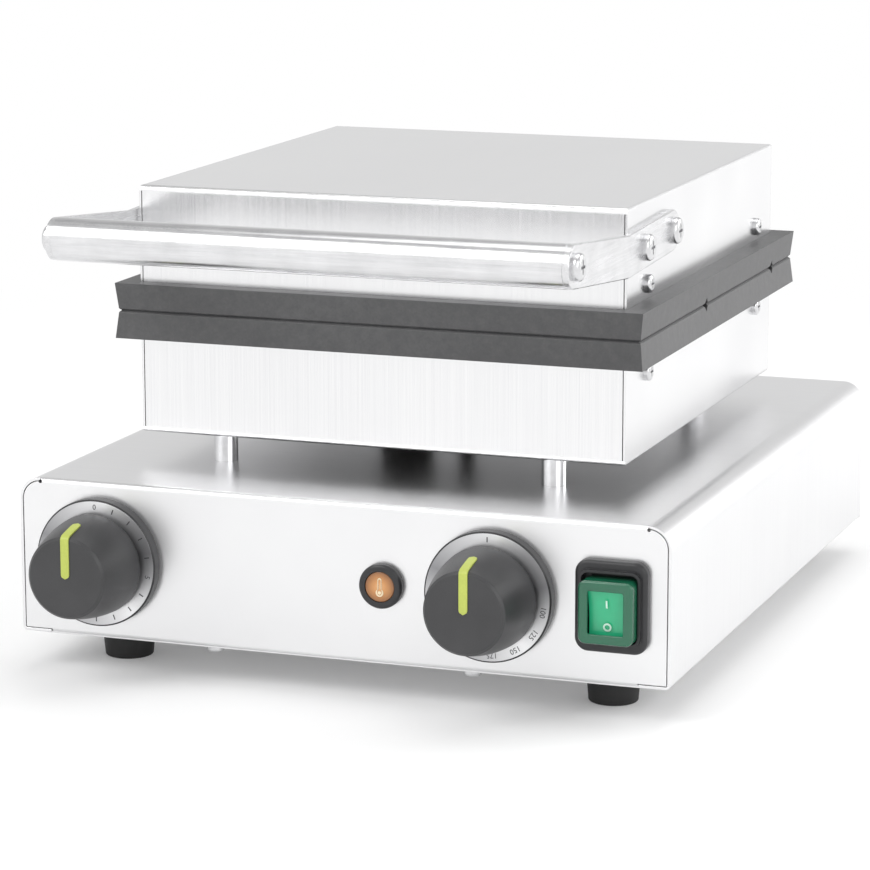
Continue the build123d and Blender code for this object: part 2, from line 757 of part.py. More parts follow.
def make_board():
    top = lower_plate_bottom - element_dia - clamp_sheet
    half_x = box_width / 2 - box_sheet - board_margin - lug_size
    half_y = box_depth / 2 - box_sheet - board_margin
    board = block((-half_x, box_middle_y - half_y, top - board_thickness),
                  (half_x, box_middle_y + half_y, top))
    for x, y in clamp_bolt_places():
        board -= rod(plate_bolt_dia * 1.1, board_thickness + 2, (x, y, top - board_thickness - 1))
    return board - rod(capillary_dia, board_thickness + 2,
                       (capillary_sleeve_x, sleeve_y, top - board_thickness - 1))


def make_clamp_bolts():
    z = lower_plate_bottom - element_dia - clamp_sheet
    sizes = (plate_bolt_dia, plate_bolt_dia * 1.7, 3.0)
    reach = clamp_sheet + element_dia - 1.5
    return [pan_screw(sizes, (x, y, z), "Z", reach) for x, y in clamp_bolt_places()]


def make_casing_screws():
    screws = []
    for side in (-1, 1):
        direction = "-X" if side > 0 else "X"
        for y in casing_screw_ys:
            screws.append(pan_screw(pan_small, (side * box_width / 2, y, casing_screw_z), direction,
                                    box_sheet + lug_size - 3))
    return screws


def arm_screw_places():
    share = (arm_screw_y - arm_kink_y) / (arm_end_y - arm_kink_y)
    z = wall_bottom + arm_kink_rise + (arm_end_rise - arm_kink_rise) * share
    return [(arm_screw_y, z), (arm_end_y, wall_bottom + arm_end_rise)]


def make_arm(side):
    """Flat strip from the lid's side to the handle end, with a shallow kink."""
    points = [(arm_end_y, wall_bottom + arm_end_rise), (arm_kink_y, wall_bottom + arm_kink_rise),
              (handle_y, handle_z)]
    shape = Sketch()
    for a, b in zip(points, points[1:]):
        middle = ((a[0] + b[0]) / 2, (a[1] + b[1]) / 2)
        run = hypot(b[0] - a[0], b[1] - a[1])
        tilt = degrees(atan2(b[1] - a[1], b[0] - a[0]))
        shape += Pos(*middle) * Rot(0, 0, tilt) * SlotCenterToCenter(run, arm_width)
    x0, x1 = sorted((side * arm_inner_x, side * arm_outer_x))
    arm = profile_yz(shape, x0, x1)
    rims = arm.faces().sort_by(Axis.X)[-1 if side > 0 else 0]
    arm = chamfer(rims.edges(), 0.4)
    for y, z in arm_screw_places() + [(handle_y, handle_z)]:
        arm -= rod(pan_large[0] / 2 + bolt_clearance, arm_thickness + 2, (x0 - 1, y, z), "X")
    return arm


def make_handle_tube():
    length = 2 * arm_inner_x
    return ring_of(handle_dia / 2, handle_dia / 2 - handle_wall, length,
                   (-arm_inner_x, handle_y, handle_z), "X")


def make_handle_plugs():
    plugs = []
    for side in (-1, 1):
        direction = "-X" if side > 0 else "X"
        at = (side * arm_inner_x, handle_y, handle_z)
        plugs.append(ring_of(handle_dia / 2 - handle_wall, pan_large[0] / 2 + 0.02, plug_length, at,
                             direction))
    return plugs


def make_handle_end_screws():
    screws = []
    for side in (-1, 1):
        direction = "-X" if side > 0 else "X"
        at = (side * arm_outer_x, handle_y, handle_z)
        screws.append(pan_screw(pan_large, at, direction, arm_thickness + plug_length - 4, 0.0))
    return screws


def make_arm_screws():
    screws = []
    for side in (-1, 1):
        direction = "-X" if side > 0 else "X"
        for y, z in arm_screw_places():
            screws.append(pan_screw(pan_large, (side * arm_outer_x, y, z), direction,
                                    arm_thickness + box_sheet + 6.5))
    return screws


def make_arm_nuts():
    nuts = []
    for side in (-1, 1):
        direction = "-X" if side > 0 else "X"
        for y, z in arm_screw_places():
            nuts.append(hex_nut(pan_large[0], (side * (box_width / 2 - box_sheet), y, z), direction))
    return nuts


def dial_cup():
    """Black rimmed dial at x = 0: cup with a lip that holds the scale plate."""
    cup = rod(dial_dia / 2, dial_depth, (0, 0, control_z), "-Y")
    cup = chamfer(cup.edges().group_by(Axis.Y)[0], 0.5)
    cup -= rod(dial_dia / 2 - dial_wall, dial_plate_recess + dial_plate_thickness,
               (0, -dial_depth + dial_plate_recess + dial_plate_thickness, control_z), "-Y")
    cup -= rod(spindle_dia / 2 + 2.4, dial_depth + 2, (0, 1, control_z), "-Y")
    for side in (-1, 1):
        at = (side * dial_screw_offset, 1, control_z)
        cup -= rod(control_screw_dia / 2 + bolt_clearance, dial_depth + 2, at, "-Y")
        cup -= rod(control_screw_dia, dial_depth, (side * dial_screw_offset, -dial_depth + 3.4,
                                                   control_z), "-Y")
    return cup


def scale_ring():
    y = -dial_depth + dial_plate_recess + dial_plate_thickness
    return ring_of(dial_dia / 2 - dial_wall - 0.1, 19.4, dial_plate_thickness, (0, y, control_z), "-Y")


def knob_side(share):
    """Radius of the knob along its height, 0 at the skirt and 1 at the face."""
    return knob_skirt_dia / 2 + (knob_face_dia - knob_skirt_dia) / 2 * share


knob_back = dial_depth + knob_gap
knob_height = knob_front - knob_back


def knob_body():
    """Tapered knob at x = 0 with a hollow skirt and a D-shaped bore."""
    r_skirt = knob_skirt_dia / 2
    r_face = knob_face_dia / 2
    bulge = (knob_side(0.5) + 0.9, knob_height * 0.5)
    side_top = (r_face, knob_height - 1.2)
    face_edge = (r_face - 1.2, knob_height)
    side = ThreePointArc((r_skirt, 2.0), bulge, side_top)
    outline = [Line((0, 0), (r_skirt - 1.4, 0)), Line((r_skirt - 1.4, 0), (r_skirt, 2.0)), side,
               Line(side_top, face_edge), Line(face_edge, (0, knob_height)),
               Line((0, knob_height), (0, 0))]
    section = Plane.XZ * make_face(outline)
    body = revolve(section, Axis.Z)
    room = [(knob_boss_dia / 2, -1), (r_skirt - knob_wall, -1), (r_face - knob_wall, knob_height - 4),
            (knob_boss_dia / 2, knob_height - 4)]
    hollow = revolve(Plane.XZ * make_face(Polyline(*room, close=True)), Axis.Z)
    body -= hollow
    bore = Cylinder(spindle_dia / 2 + spindle_gap, 16, align=(Align.CENTER, Align.CENTER, Align.MIN))
    bore -= Pos(spindle_dia / 2 - spindle_flat + spindle_gap + 5, 0, 8) * Box(10, 10, 30)
    body -= Pos(0, 0, -0.01) * bore
    return Pos(0, -knob_back, control_z) * Rot(90, 0, 0) * body


def knob_marker():
    """Raised pointer line over the face and down the side of the knob."""
    face_y = -knob_back - knob_height
    r_face = knob_face_dia / 2
    strip = [(0, face_y), (0, face_y - marker_relief), (r_face - 0.8, face_y - marker_relief)]
    end_share = 1 - marker_skirt_stop
    points = []
    for i in range(5):
        share = 0.97 - (0.97 - end_share) * i / 4
        lift = 0.9 * 4 * share * (1 - share)
        points.append((knob_side(share) + lift + marker_seat, -knob_back - knob_height * share))
    outer = [(r + marker_relief, y) for r, y in points]
    strip += outer + points[::-1] + [(r_face - 1.2, face_y)]
    shape = make_face(Polyline(*strip, close=True))
    plane = Plane(origin=(-marker_width / 2, 0, 0), x_dir=(0, 0, 1), z_dir=(1, 0, 0))
    flat = extrude(plane * mirror(shape, about=Plane.XZ), amount=marker_width)
    return Pos(0, 0, control_z) * flat


def spindle(body_front):
    length = knob_back + 14.0
    shaft = rod(spindle_dia / 2, length + body_front, (0, body_front, 0), "-Y")
    flat_x = spindle_dia / 2 - spindle_flat
    shaft -= block((flat_x, -length - 1, -spindle_dia), (spindle_dia, -knob_back + 0.5, spindle_dia))
    return Pos(0, 0, control_z) * shaft


def control_body(width, height, depth):
    """Switch or clockwork case behind the front face, with its bush."""
    y0 = base_sheet
    case = block((-width / 2, y0, control_z - height / 2), (width / 2, y0 + depth, control_z + height / 2))
    case = fillet(case.edges().filter_by(Axis.Y), 3)
    for side in (-1, 1):
        for z in (-0.25, 0.25):
            x0 = side * width / 4
            case += block((x0 - 3, y0 + depth, control_z + z * height - 0.4),
                          (x0 + 3, y0 + depth + 8, control_z + z * height + 0.4))
    case += ring_of(5.0, spindle_dia / 2 + spindle_gap, base_sheet + 1.4, (0, y0, control_z), "-Y")
    case -= rod(spindle_dia / 2 + spindle_gap, 12.2, (0, y0 + 12.2, control_z), "-Y")
    for side in (-1, 1):
        case -= rod(control_screw_dia / 2 + 0.02, 6, (side * dial_screw_offset, y0 + 6, control_z), "-Y")
    return case


def control_screws():
    screws = []
    for x in (timer_x, thermostat_x):
        for side in (-1, 1):
            at = (x + side * dial_screw_offset, -dial_depth + 3.4, control_z)
            screws.append(pan_screw((control_screw_dia, 7.0, 1.9), at, "Y",
                                    dial_depth - 3.4 + base_sheet + 5))
    return screws


def make_lamp():
    """Indicator lamp: black bezel ring, domed lens and the barrel behind the face."""
    bezel = rod(lamp_bezel_dia / 2, lamp_depth, (lamp_x, 0, control_z), "-Y")
    bezel = fillet(bezel.edges().group_by(Axis.Y)[0], 1.6)
    bezel -= rod(lamp_lens_dia / 2 + 0.1, 3.0, (lamp_x, -lamp_depth + 2.4, control_z), "-Y")
    bezel -= rod(lamp_barrel_dia / 2 - 1.0, lamp_depth + 1, (lamp_x, 0.5, control_z), "-Y")
    lens = rod(lamp_lens_dia / 2, 2.2, (lamp_x, -lamp_depth + 2.4, control_z), "-Y")
    lens = fillet(lens.edges().group_by(Axis.Y)[0], 0.5)
    barrel = rod(lamp_barrel_dia / 2, 24, (lamp_x, 0, control_z), "Y")
    for side in (-1, 1):
        barrel += block((lamp_x + side * 3 - 0.4, 24, control_z - 2),
                        (lamp_x + side * 3 + 0.4, 32, control_z + 2))
    nut_y = base_sheet
    nut = ring_of(lamp_barrel_dia / 2 + 4, lamp_barrel_dia / 2 + 0.02, 4, (lamp_x, nut_y, control_z), "Y")
    return bezel, lens, barrel, nut


def centred_block(width, height, corner, y0, depth, x, z):
    shape = Pos(x, z) * fillet(Rectangle(width, height).vertices(), corner)
    return profile_xz(shape, y0, y0 + depth)


def make_switch():
    """Rocker switch with bezel, sealed clear boot and its body behind the face."""
    bezel = centred_block(switch_width, switch_height, switch_corner, -switch_bezel_depth,
                          switch_bezel_depth, switch_x, switch_z)
    bezel = fillet(bezel.faces().sort_by(Axis.Y)[0].edges(), 1.8)
    bezel += centred_block(boot_width + 2.6, boot_height + 2.6, 4.0, -switch_bezel_depth - 2.0, 2.5,
                           switch_x, switch_z)
    bezel -= centred_block(boot_width + 0.2, boot_height + 0.2, 3.1, -20, 20.0 + -1.4, switch_x, switch_z)
    bezel -= centred_block(switch_cutout_width - 3.0, switch_cutout_height - 3.0, 1.0, -3, 4, switch_x,
                           switch_z)
    boot = centred_block(boot_width, boot_height, 3.0, -boot_front, boot_front - 1.4, switch_x, switch_z)
    boot = fillet(boot.faces().sort_by(Axis.Y)[0].edges(), 2.0)
    boot -= centred_block(boot_width - 4, boot_height - 4, 2.0, -boot_front - 0.1, 0.9, switch_x, switch_z)
    boot -= centred_block(boot_width - 2 * boot_wall, boot_height - 2 * boot_wall, 2.0,
                          -boot_front + 1.8, boot_front, switch_x, switch_z)
    body = centred_block(switch_cutout_width - 0.4, switch_cutout_height - 0.4, 0.5, 0.0,
                         switch_body_depth, switch_x, switch_z)
    body -= centred_block(rocker_width + 1.0, rocker_height + 1.6, 0.5, -1, 9, switch_x, switch_z)
    for dx in (-5, 5):
        for dz in (-9, 0, 9):
            low = (switch_x + dx - 3, switch_body_depth, switch_z + dz - 0.4)
            high = (switch_x + dx + 3, switch_body_depth + switch_tab_length, switch_z + dz + 0.4)
            body += block(low, high)
    body -= rod(1.5 + spindle_gap, rocker_width + 4, (switch_x - rocker_width / 2 - 2, rocker_pivot_y,
                                                      switch_z), "X")
    return bezel, boot, body


rocker_pivot_y = 3.0
rocker_front = 9.4


def make_rocker():
    """Rocker at rest with its lower end, marked O, pressed in."""
    half_h = rocker_height / 2
    tilt = rocker_swing / 2
    front = [(-rocker_front, -half_h), (-rocker_front + 1.2, 0), (-rocker_front, half_h)]
    shape = make_face([ThreePointArc(*front), Line(front[2], (0, half_h)), Line((0, half_h), (4.0, 3.5)),
                       Line((4.0, 3.5), (4.0, -3.5)), Line((4.0, -3.5), (0, -half_h)), Line((0, -half_h),
                                                                                            front[0])])
    key = profile_yz(shape, -rocker_width / 2, rocker_width / 2)
    key = Pos(0, -rocker_pivot_y, 0) * key
    pins = rod(1.5, rocker_width + 3, (-rocker_width / 2 - 1.5, 0, 0), "X")
    return Pos(switch_x, rocker_pivot_y, switch_z) * Rot(tilt, 0, 0) * (key + pins)


def make_sleeve(dia, wall, x):
    return ring_of(dia / 2, dia / 2 - wall, box_gap, (x, sleeve_y, base_top), "Z")


def make_capillary():
    """Thin copper tube from the thermostat up through the sleeve to the bulb under the plate."""
    bulb_z = lower_plate_bottom - element_dia / 2
    start = (thermostat_x, base_sheet + thermostat_body_depth, control_z)
    top_z = bulb_z
    points = [start, (thermostat_x, 70, control_z), (30, 130, control_z + 8),
              (capillary_sleeve_x, sleeve_y, base_top - 22),
              (capillary_sleeve_x, sleeve_y, top_z)]
    wire = FilletPolyline(*points, radius=9)
    section = Plane(origin=wire @ 0, z_dir=wire % 0) * Circle(capillary_dia / 2)
    tube = sweep(section, path=wire)
    bulb = rod(bulb_dia / 2, 60, (capillary_sleeve_x, sleeve_y - 30, bulb_z), "Y")
    return tube + bulb


def make_gland():
    """Strain relief of the mains inlet: hexagon body, domed nose and thread."""
    at = (gland_x, base_depth, gland_z)
    body = Pos(*at) * Rot(-90, 0, 0) * extrude(RegularPolygon(gland_hex / 2, 6, major_radius=False),
                                               amount=6)
    nose = rod(gland_hex / 2 - 1, gland_nose - 6, (gland_x, base_depth + 6, gland_z), "Y")
    nose = fillet(nose.edges().group_by(Axis.Y)[-1], 3)
    thread = rod(gland_thread_dia / 2, 12, at, "-Y")
    gland = body + nose + thread
    return gland - rod(gland_bore, 40, (gland_x, base_depth - 20, gland_z), "Y")


def make_gland_nut():
    return Pos(gland_x, base_depth - rear_sheet, gland_z) * Rot(90, 0, 0) * (
        extrude(RegularPolygon(gland_hex / 2, 6, major_radius=False), amount=4)
        - Cylinder(gland_thread_dia / 2 + 0.02, 20))


def make_terminal_block():
    """Mains terminal block standing on the bottom plate."""
    z0 = wall_bottom
    x0, y0 = -115.0, 285.0
    block_body = block((x0, y0, z0), (x0 + 46, y0 + 18, z0 + 16))
    for i in range(4):
        at = (x0 + 6 + i * 11.3, y0 + 9, z0 + 10)
        block_body -= rod(2.6, 8, at)
        block_body -= rod(2.0, 20, (at[0], y0 - 1, z0 + 7), "Y")
    return block_body


def make_thermal_cutout():
    """Safety cut-out button fixed under the clamp plate's board."""
    z = lower_plate_bottom - element_dia - clamp_sheet - board_thickness
    cutout = rod(8, 8, (60, 200, z), "-Z") + rod(6.5, 4, (60, 200, z - 8), "-Z")
    return cutout


def bolts_up(dia, places, z, length):
    sizes = (dia, dia * 1.8, dia * 0.6)
    return [pan_screw(sizes, (x, y, z), "Z", length) for x, y in places]


def hinge_bolts(places):
    sizes = (hinge_bolt_dia, hinge_bolt_dia * 1.8, 2.8)
    reach = hinge_sheet + box_sheet + 5.5
    return [pan_screw(sizes, (x, box_back + hinge_sheet, z), "-Y", reach) for x, z in places]


def hinge_nuts(places):
    return [hex_nut(hinge_bolt_dia, (x, box_back - box_sheet, z), "-Y") for x, z in places]


def build_nodes():
    nodes = {}
    nodes["base_shell"] = make_base_shell()
    nodes["rear_panel"] = make_rear_panel()
    nodes["bottom_plate"] = make_bottom_plate()
    feet = grid_points(foot_xs, foot_ys)
    nodes["feet"] = [make_foot(x, y) for x, y in feet]
    nodes["foot_bolts"] = bolts_up(foot_bolt_dia, feet, foot_recess_depth,
                                   wall_bottom - foot_recess_depth + 5)
    nodes["foot_bolts"] += [hex_nut(foot_bolt_dia, (x, y, wall_bottom), "Z") for x, y in feet]
    below = [(x, y, foot_height) for x, y in bottom_screw_places()]
    behind = [(x, base_depth, z) for x, z in rear_screw_places()]
    nodes["panel_screws"] = [pan_screw(pan_small, place, "Z", 6) for place in below]
    nodes["panel_screws"] += [pan_screw(pan_small, place, "-Y", 6) for place in behind]
    nodes["cable_gland"] = [make_gland(), make_gland_nut()]
    nodes["terminal_block"] = make_terminal_block()

    timer_at = Pos(timer_x, 0, 0)
    thermostat_at = Pos(thermostat_x, 0, 0)
    nodes["timer_body"] = timer_at * control_body(timer_body_size, timer_body_size, timer_body_depth)
    nodes["thermostat_body"] = thermostat_at * control_body(thermostat_body_width,
                                                            thermostat_body_height, thermostat_body_depth)
    for name, place in (("timer", timer_at), ("thermostat", thermostat_at)):
        nodes[f"{name}_dial"] = place * dial_cup()
        nodes[f"{name}_scale"] = place * scale_ring()
        nodes[f"{name}_shaft"] = place * spindle(base_sheet + 12.0)
        nodes[f"{name}_knob"] = place * knob_body()
        nodes[f"{name}_marker"] = place * knob_marker()
    nodes["control_screws"] = control_screws()
    nodes["lamp_bezel"], nodes["lamp_lens"], lamp_barrel, lamp_nut = make_lamp()
    nodes["lamp_body"] = [lamp_barrel, lamp_nut]
    nodes["switch_bezel"], nodes["switch_boot"], nodes["switch_body"] = make_switch()
    nodes["switch_rocker"] = make_rocker()

    nodes["standoffs"] = [ring_of(standoff_dia / 2, standoff_bolt_dia / 2 + bolt_clearance, box_gap,
                                  (x, y, base_top), "Z")
                          for x, y in standoff_places]
    bolt_start = base_top - base_sheet
    nodes["standoff_bolts"] = bolts_up(standoff_bolt_dia, standoff_places, bolt_start,
                                       base_sheet + box_gap + box_sheet + 7)
    nut_seats = [(x, y, box_bottom + box_sheet) for x, y in standoff_places]
    nodes["standoff_bolts"] += [hex_nut(standoff_bolt_dia, seat, "Z") for seat in nut_seats]
    nodes["passage_sleeves"] = [make_sleeve(wire_sleeve_dia, 3.0, wire_sleeve_x),
                                make_sleeve(capillary_sleeve_dia, 1.5, capillary_sleeve_x)]
    nodes["capillary"] = make_capillary()

    plate = make_cooking_plate()
    element = make_element()
    clamp = make_clamp_plate()
    board = make_board()
    bolts = make_clamp_bolts()
    screws = make_casing_screws()
    nodes["lower_casing"] = make_lower_casing()
    nodes["lower_plate"] = plate
    nodes["lower_element"] = element
    nodes["lower_clamp_plate"] = clamp
    nodes["lower_insulation"] = board
    nodes["lower_clamp_bolts"] = bolts
    nodes["lower_casing_screws"] = screws
    nodes["thermal_cutout"] = make_thermal_cutout()
    nodes["hinge_base_bracket"] = make_base_bracket()
    nodes["hinge_shaft"] = make_hinge_shaft()
    nodes["hinge_clips"] = make_shaft_clips()
    nodes["hinge_stop_bar"] = make_stop_bar()
    nodes["hinge_base_bolts"] = hinge_bolts(base_bracket_bolts())
    nodes["hinge_base_bolts"] += hinge_nuts(base_bracket_bolts())

    nodes["lid_casing"] = make_lid_casing()
    nodes["upper_plate"] = flip(plate)
    nodes["upper_element"] = flip(element)
    nodes["upper_clamp_plate"] = flip(clamp)
    nodes["upper_insulation"] = flip(board)
    nodes["upper_clamp_bolts"] = [flip(b) for b in bolts]
    nodes["lid_casing_screws"] = [flip(s) for s in screws]
    nodes["hinge_lid_bracket"] = make_lid_bracket()
    nodes["hinge_lid_bolts"] = hinge_bolts(lid_bracket_bolts()) + hinge_nuts(lid_bracket_bolts())
    nodes["handle_tube"] = make_handle_tube()
    nodes["handle_end_plugs"] = make_handle_plugs()
    nodes["handle_end_screws"] = make_handle_end_screws()
    nodes["handle_arm_left"] = make_arm(-1)
    nodes["handle_arm_right"] = make_arm(1)
    nodes["handle_arm_screws"] = make_arm_screws()
    nodes["handle_arm_screws"] += make_arm_nuts()
    return nodes


def to_part_frame(shape):
    """Move from the machine frame to the origin under the middle of the whole object."""
    if isinstance(shape, (list, tuple)):
        shape = Compound([s for piece in shape for s in piece.solids()])
    return Pos(0, -origin_y, 0) * shape


if __name__ == "__main__":
    os.makedirs("parts", exist_ok=True)
    for node_name, node_shape in build_nodes().items():
        export_step(to_part_frame(node_shape), f"parts/{node_name}.step")
    print("written")
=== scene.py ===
import bpy
import json
from math import sin, cos, pi, radians
from mathutils import Vector, Matrix


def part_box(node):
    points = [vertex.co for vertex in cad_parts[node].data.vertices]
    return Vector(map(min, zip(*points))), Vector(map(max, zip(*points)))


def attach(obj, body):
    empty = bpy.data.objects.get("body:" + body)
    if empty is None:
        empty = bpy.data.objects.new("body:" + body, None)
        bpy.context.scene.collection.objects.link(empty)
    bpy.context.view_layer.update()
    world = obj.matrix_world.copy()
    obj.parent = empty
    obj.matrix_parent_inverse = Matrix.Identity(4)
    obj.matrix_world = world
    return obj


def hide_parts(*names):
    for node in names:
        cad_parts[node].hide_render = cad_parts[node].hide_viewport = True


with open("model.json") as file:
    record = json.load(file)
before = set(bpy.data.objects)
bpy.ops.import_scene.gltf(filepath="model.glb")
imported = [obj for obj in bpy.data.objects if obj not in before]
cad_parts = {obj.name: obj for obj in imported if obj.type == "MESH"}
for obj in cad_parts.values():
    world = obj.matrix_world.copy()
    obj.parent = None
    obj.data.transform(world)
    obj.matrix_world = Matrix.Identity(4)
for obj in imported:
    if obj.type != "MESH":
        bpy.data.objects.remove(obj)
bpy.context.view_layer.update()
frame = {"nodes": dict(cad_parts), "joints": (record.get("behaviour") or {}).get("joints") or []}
nodes = frame["nodes"]
print("frame loaded:", len(nodes), "nodes")

mm = 0.001


# Shader maths: a wire is one output socket, and arithmetic on it adds Math nodes

class Wire:
    def __init__(self, finish, socket):
        self.finish = finish
        self.socket = socket

    def mathOp(self, operation, first, second):
        node = self.finish.add("ShaderNodeMath", {"operation": operation}, {0: first, 1: second})
        return node.out("Value")

    def __add__(self, other):
        return self.mathOp("ADD", self, other)

    def __radd__(self, other):
        return self.mathOp("ADD", other, self)

    def __sub__(self, other):
        return self.mathOp("SUBTRACT", self, other)

    def __rsub__(self, other):
        return self.mathOp("SUBTRACT", other, self)

    def __mul__(self, other):
        return self.mathOp("MULTIPLY", self, other)

    def __rmul__(self, other):
        return self.mathOp("MULTIPLY", other, self)


class Placed:
    def __init__(self, finish, node):
        self.finish = finish
        self.node = node

    def out(self, name):
        return Wire(self.finish, self.node.outputs[name])


class Finish:
    def __init__(self, name, tree=None):
        if tree is None:
            self.material = bpy.data.materials.new(name)
            self.material.use_nodes = True
            tree = self.material.node_tree
        self.tree = tree
        self.tree.nodes.clear()

    def add(self, kind, settings=None, sockets=None):
        node = self.tree.nodes.new(kind)
        for key, value in (settings or {}).items():
            if key == "stops":
                ramp = node.color_ramp
                while len(ramp.elements) < len(value):
                    ramp.elements.new(0.5)
                for element, (place, tone) in zip(ramp.elements, value):
                    element.position = place
                    element.color = (*tone, 1) if len(tone) == 3 else tone
            else:
                setattr(node, key, value)
        for key, value in (sockets or {}).items():
            socket = node.inputs[key]
            if isinstance(value, Wire):
                self.tree.links.new(value.socket, socket)
            elif hasattr(value, "__len__") and len(value) == 3 and socket.type == "RGBA":
                socket.default_value = (*value, 1)
            else:
                socket.default_value = value
        return Placed(self, node)

    def place(self):
        return self.add("ShaderNodeTexCoord").out("Object")

    def stretched(self, scale):
        return self.add("ShaderNodeVectorMath", {"operation": "MULTIPLY"},
                        {0: self.place(), 1: scale}).out("Vector")

    def noise(self, vector, scale=1.0, detail=3.0, rough=0.5):
        return self.add("ShaderNodeTexNoise", {}, {"Vector": vector, "Scale": scale, "Detail": detail,
                                                   "Roughness": rough}).out("Fac")

    def ramp(self, wire, stops):
        return self.add("ShaderNodeValToRGB", {"stops": stops}, {"Fac": wire}).out("Color")

    def tinted(self, first, second):
        mix = self.add("ShaderNodeMix", {"data_type": "RGBA", "blend_type": "MULTIPLY"},
                       {0: 1.0, 6: first, 7: second})
        return Wire(self, mix.node.outputs[2])  # the third output of a Mix node is its colour

    def fromPoint(self, centre):
        moved = self.add("ShaderNodeVectorMath", {"operation": "SUBTRACT"},
                         {0: self.place(), 1: centre}).out("Vector")
        return moved, self.length(moved)

    def length(self, vector):
        return self.add("ShaderNodeVectorMath", {"operation": "LENGTH"}, {0: vector}).out("Value")

    def bump(self, height, strength, distance, normal=None):
        sockets = {"Height": height, "Strength": strength, "Distance": distance}
        if normal is not None:
            sockets["Normal"] = normal
        return self.add("ShaderNodeBump", {}, sockets).out("Normal")

    def roundedEdge(self, radius):
        return self.add("ShaderNodeBevel", {"samples": 4}, {"Radius": radius}).out("Normal")

    def surface(self, sockets):
        shader = self.add("ShaderNodeBsdfPrincipled", {}, sockets)
        output = self.add("ShaderNodeOutputMaterial")
        self.tree.links.new(shader.node.outputs["BSDF"], output.node.inputs["Surface"])
        return self.material


def coat(nodeNames, material):
    for name in nodeNames:
        piece = nodes[name]
        piece.data.materials.clear()
        piece.data.materials.append(material)


# Ground sheet steel: fine lines that follow the strip round its folds, faint haze from handling

sheetSteel = {"tone": (0.84, 0.84, 0.845), "dark": (0.77, 0.77, 0.78), "rough": 0.24, "roughSpread": 0.08,
              "acrossGrain": 2400.0, "alongGrain": 12.0, "lineDepth": 0.00001, "edge": 0.0004}


def makeSheetSteel(name, across, look):
    finish = Finish(name)
    scale = [look["alongGrain"]] * 3
    scale[across] = look["acrossGrain"]
    lines = finish.noise(finish.stretched(scale), 1.0, 2.0, 0.6)
    haze = finish.noise(finish.place(), 7.0, 2.0, 0.5)
    tone = finish.ramp(lines * 0.6 + haze * 0.4, [(0.28, look["dark"]), (0.60, look["tone"])])
    rough = lines * look["roughSpread"] + haze * 0.06 + (look["rough"] - look["roughSpread"] * 0.5 - 0.03)
    normal = finish.bump(lines, 0.3, look["lineDepth"], finish.roundedEdge(look["edge"]))
    return finish.surface({"Base Color": tone, "Metallic": 1.0, "Roughness": rough, "Normal": normal})


# Drawn and polished bar, tube and screws

brightSteel = {"tone": (0.78, 0.78, 0.79), "dark": (0.62, 0.62, 0.63), "rough": 0.20, "edge": 0.0003,
               "scale": (40.0, 900.0, 900.0)}


def makeBrightSteel(name, look):
    finish = Finish(name)
    marks = finish.noise(finish.stretched(look["scale"]), 1.0, 3.0, 0.6)
    wear = finish.noise(finish.place(), 60.0, 3.0, 0.6)
    tone = finish.ramp(marks * 0.5 + wear * 0.5, [(0.3, look["dark"]), (0.65, look["tone"])])
    rough = marks * 0.12 + (look["rough"] - 0.06)
    normal = finish.bump(marks, 0.2, 0.00002, finish.roundedEdge(look["edge"]))
    return finish.surface({"Base Color": tone, "Metallic": 1.0, "Roughness": rough, "Normal": normal})


# Cast iron plates: sandy skin, seasoned to an uneven dark grey

castLook = {"tone": (0.060, 0.060, 0.062), "dark": (0.040, 0.040, 0.042), "pale": (0.095, 0.095, 0.097),
            "rough": 0.46}


def makeCast(name, look):
    finish = Finish(name)
    sand = finish.noise(finish.place(), 900.0, 4.0, 0.65)
    pits = finish.noise(finish.place(), 260.0, 3.0, 0.6)
    cloud = finish.noise(finish.place(), 12.0, 3.0, 0.5)
    stops = [(0.30, look["dark"]), (0.50, look["tone"]), (0.74, look["pale"])]
    tone = finish.ramp(cloud * 0.35 + pits * 0.35 + sand * 0.30, stops)
    rough = sand * 0.16 + cloud * 0.08 + (look["rough"] - 0.12)
    normal = finish.bump(pits * 0.6 + sand * 0.4, 0.4, 0.0002, finish.roundedEdge(0.0006))
    return finish.surface({"Base Color": tone, "Metallic": 0.0, "Roughness": rough, "Normal": normal,
                           "Specular IOR Level": 0.7})


# Moulded plastics and rubber

plainPlastic = {"variation": 0.25, "edge": 0.0004}


def makePlastic(name, look):
    finish = Finish(name)
    grain = finish.noise(finish.place(), look["grain"], 2.0, 0.5)
    cloud = finish.noise(finish.place(), 35.0, 3.0, 0.55)
    low = tuple(c * (1 - look["variation"]) for c in look["tone"])
    high = tuple(min(1.0, c * (1 + look["variation"])) for c in look["tone"])
    colour = finish.ramp(cloud * 0.6 + grain * 0.4, [(0.3, low), (0.7, high)])
    roughness = grain * 0.16 + (look["rough"] - 0.08)
    normal = finish.bump(grain, 0.35, look["depth"], finish.roundedEdge(look["edge"]))
    return finish.surface({"Base Color": colour, "Roughness": roughness, "Normal": normal})


def makeClear(name, tone, alpha, rough, glow):
    finish = Finish(name)
    cloud = finish.noise(finish.place(), 120.0, 2.0, 0.5)
    colour = finish.ramp(cloud, [(0.3, tuple(c * 0.9 for c in tone)), (0.7, tone)])
    roughness = cloud * 0.1 + rough
    return finish.surface({"Base Color": colour, "Alpha": alpha, "Roughness": roughness, "Coat Weight": 0.6,
                           "Coat Roughness": 0.08, "Emission Color": colour, "Emission Strength": glow})


# Lens of the lamp: amber that deepens to brown at its rim

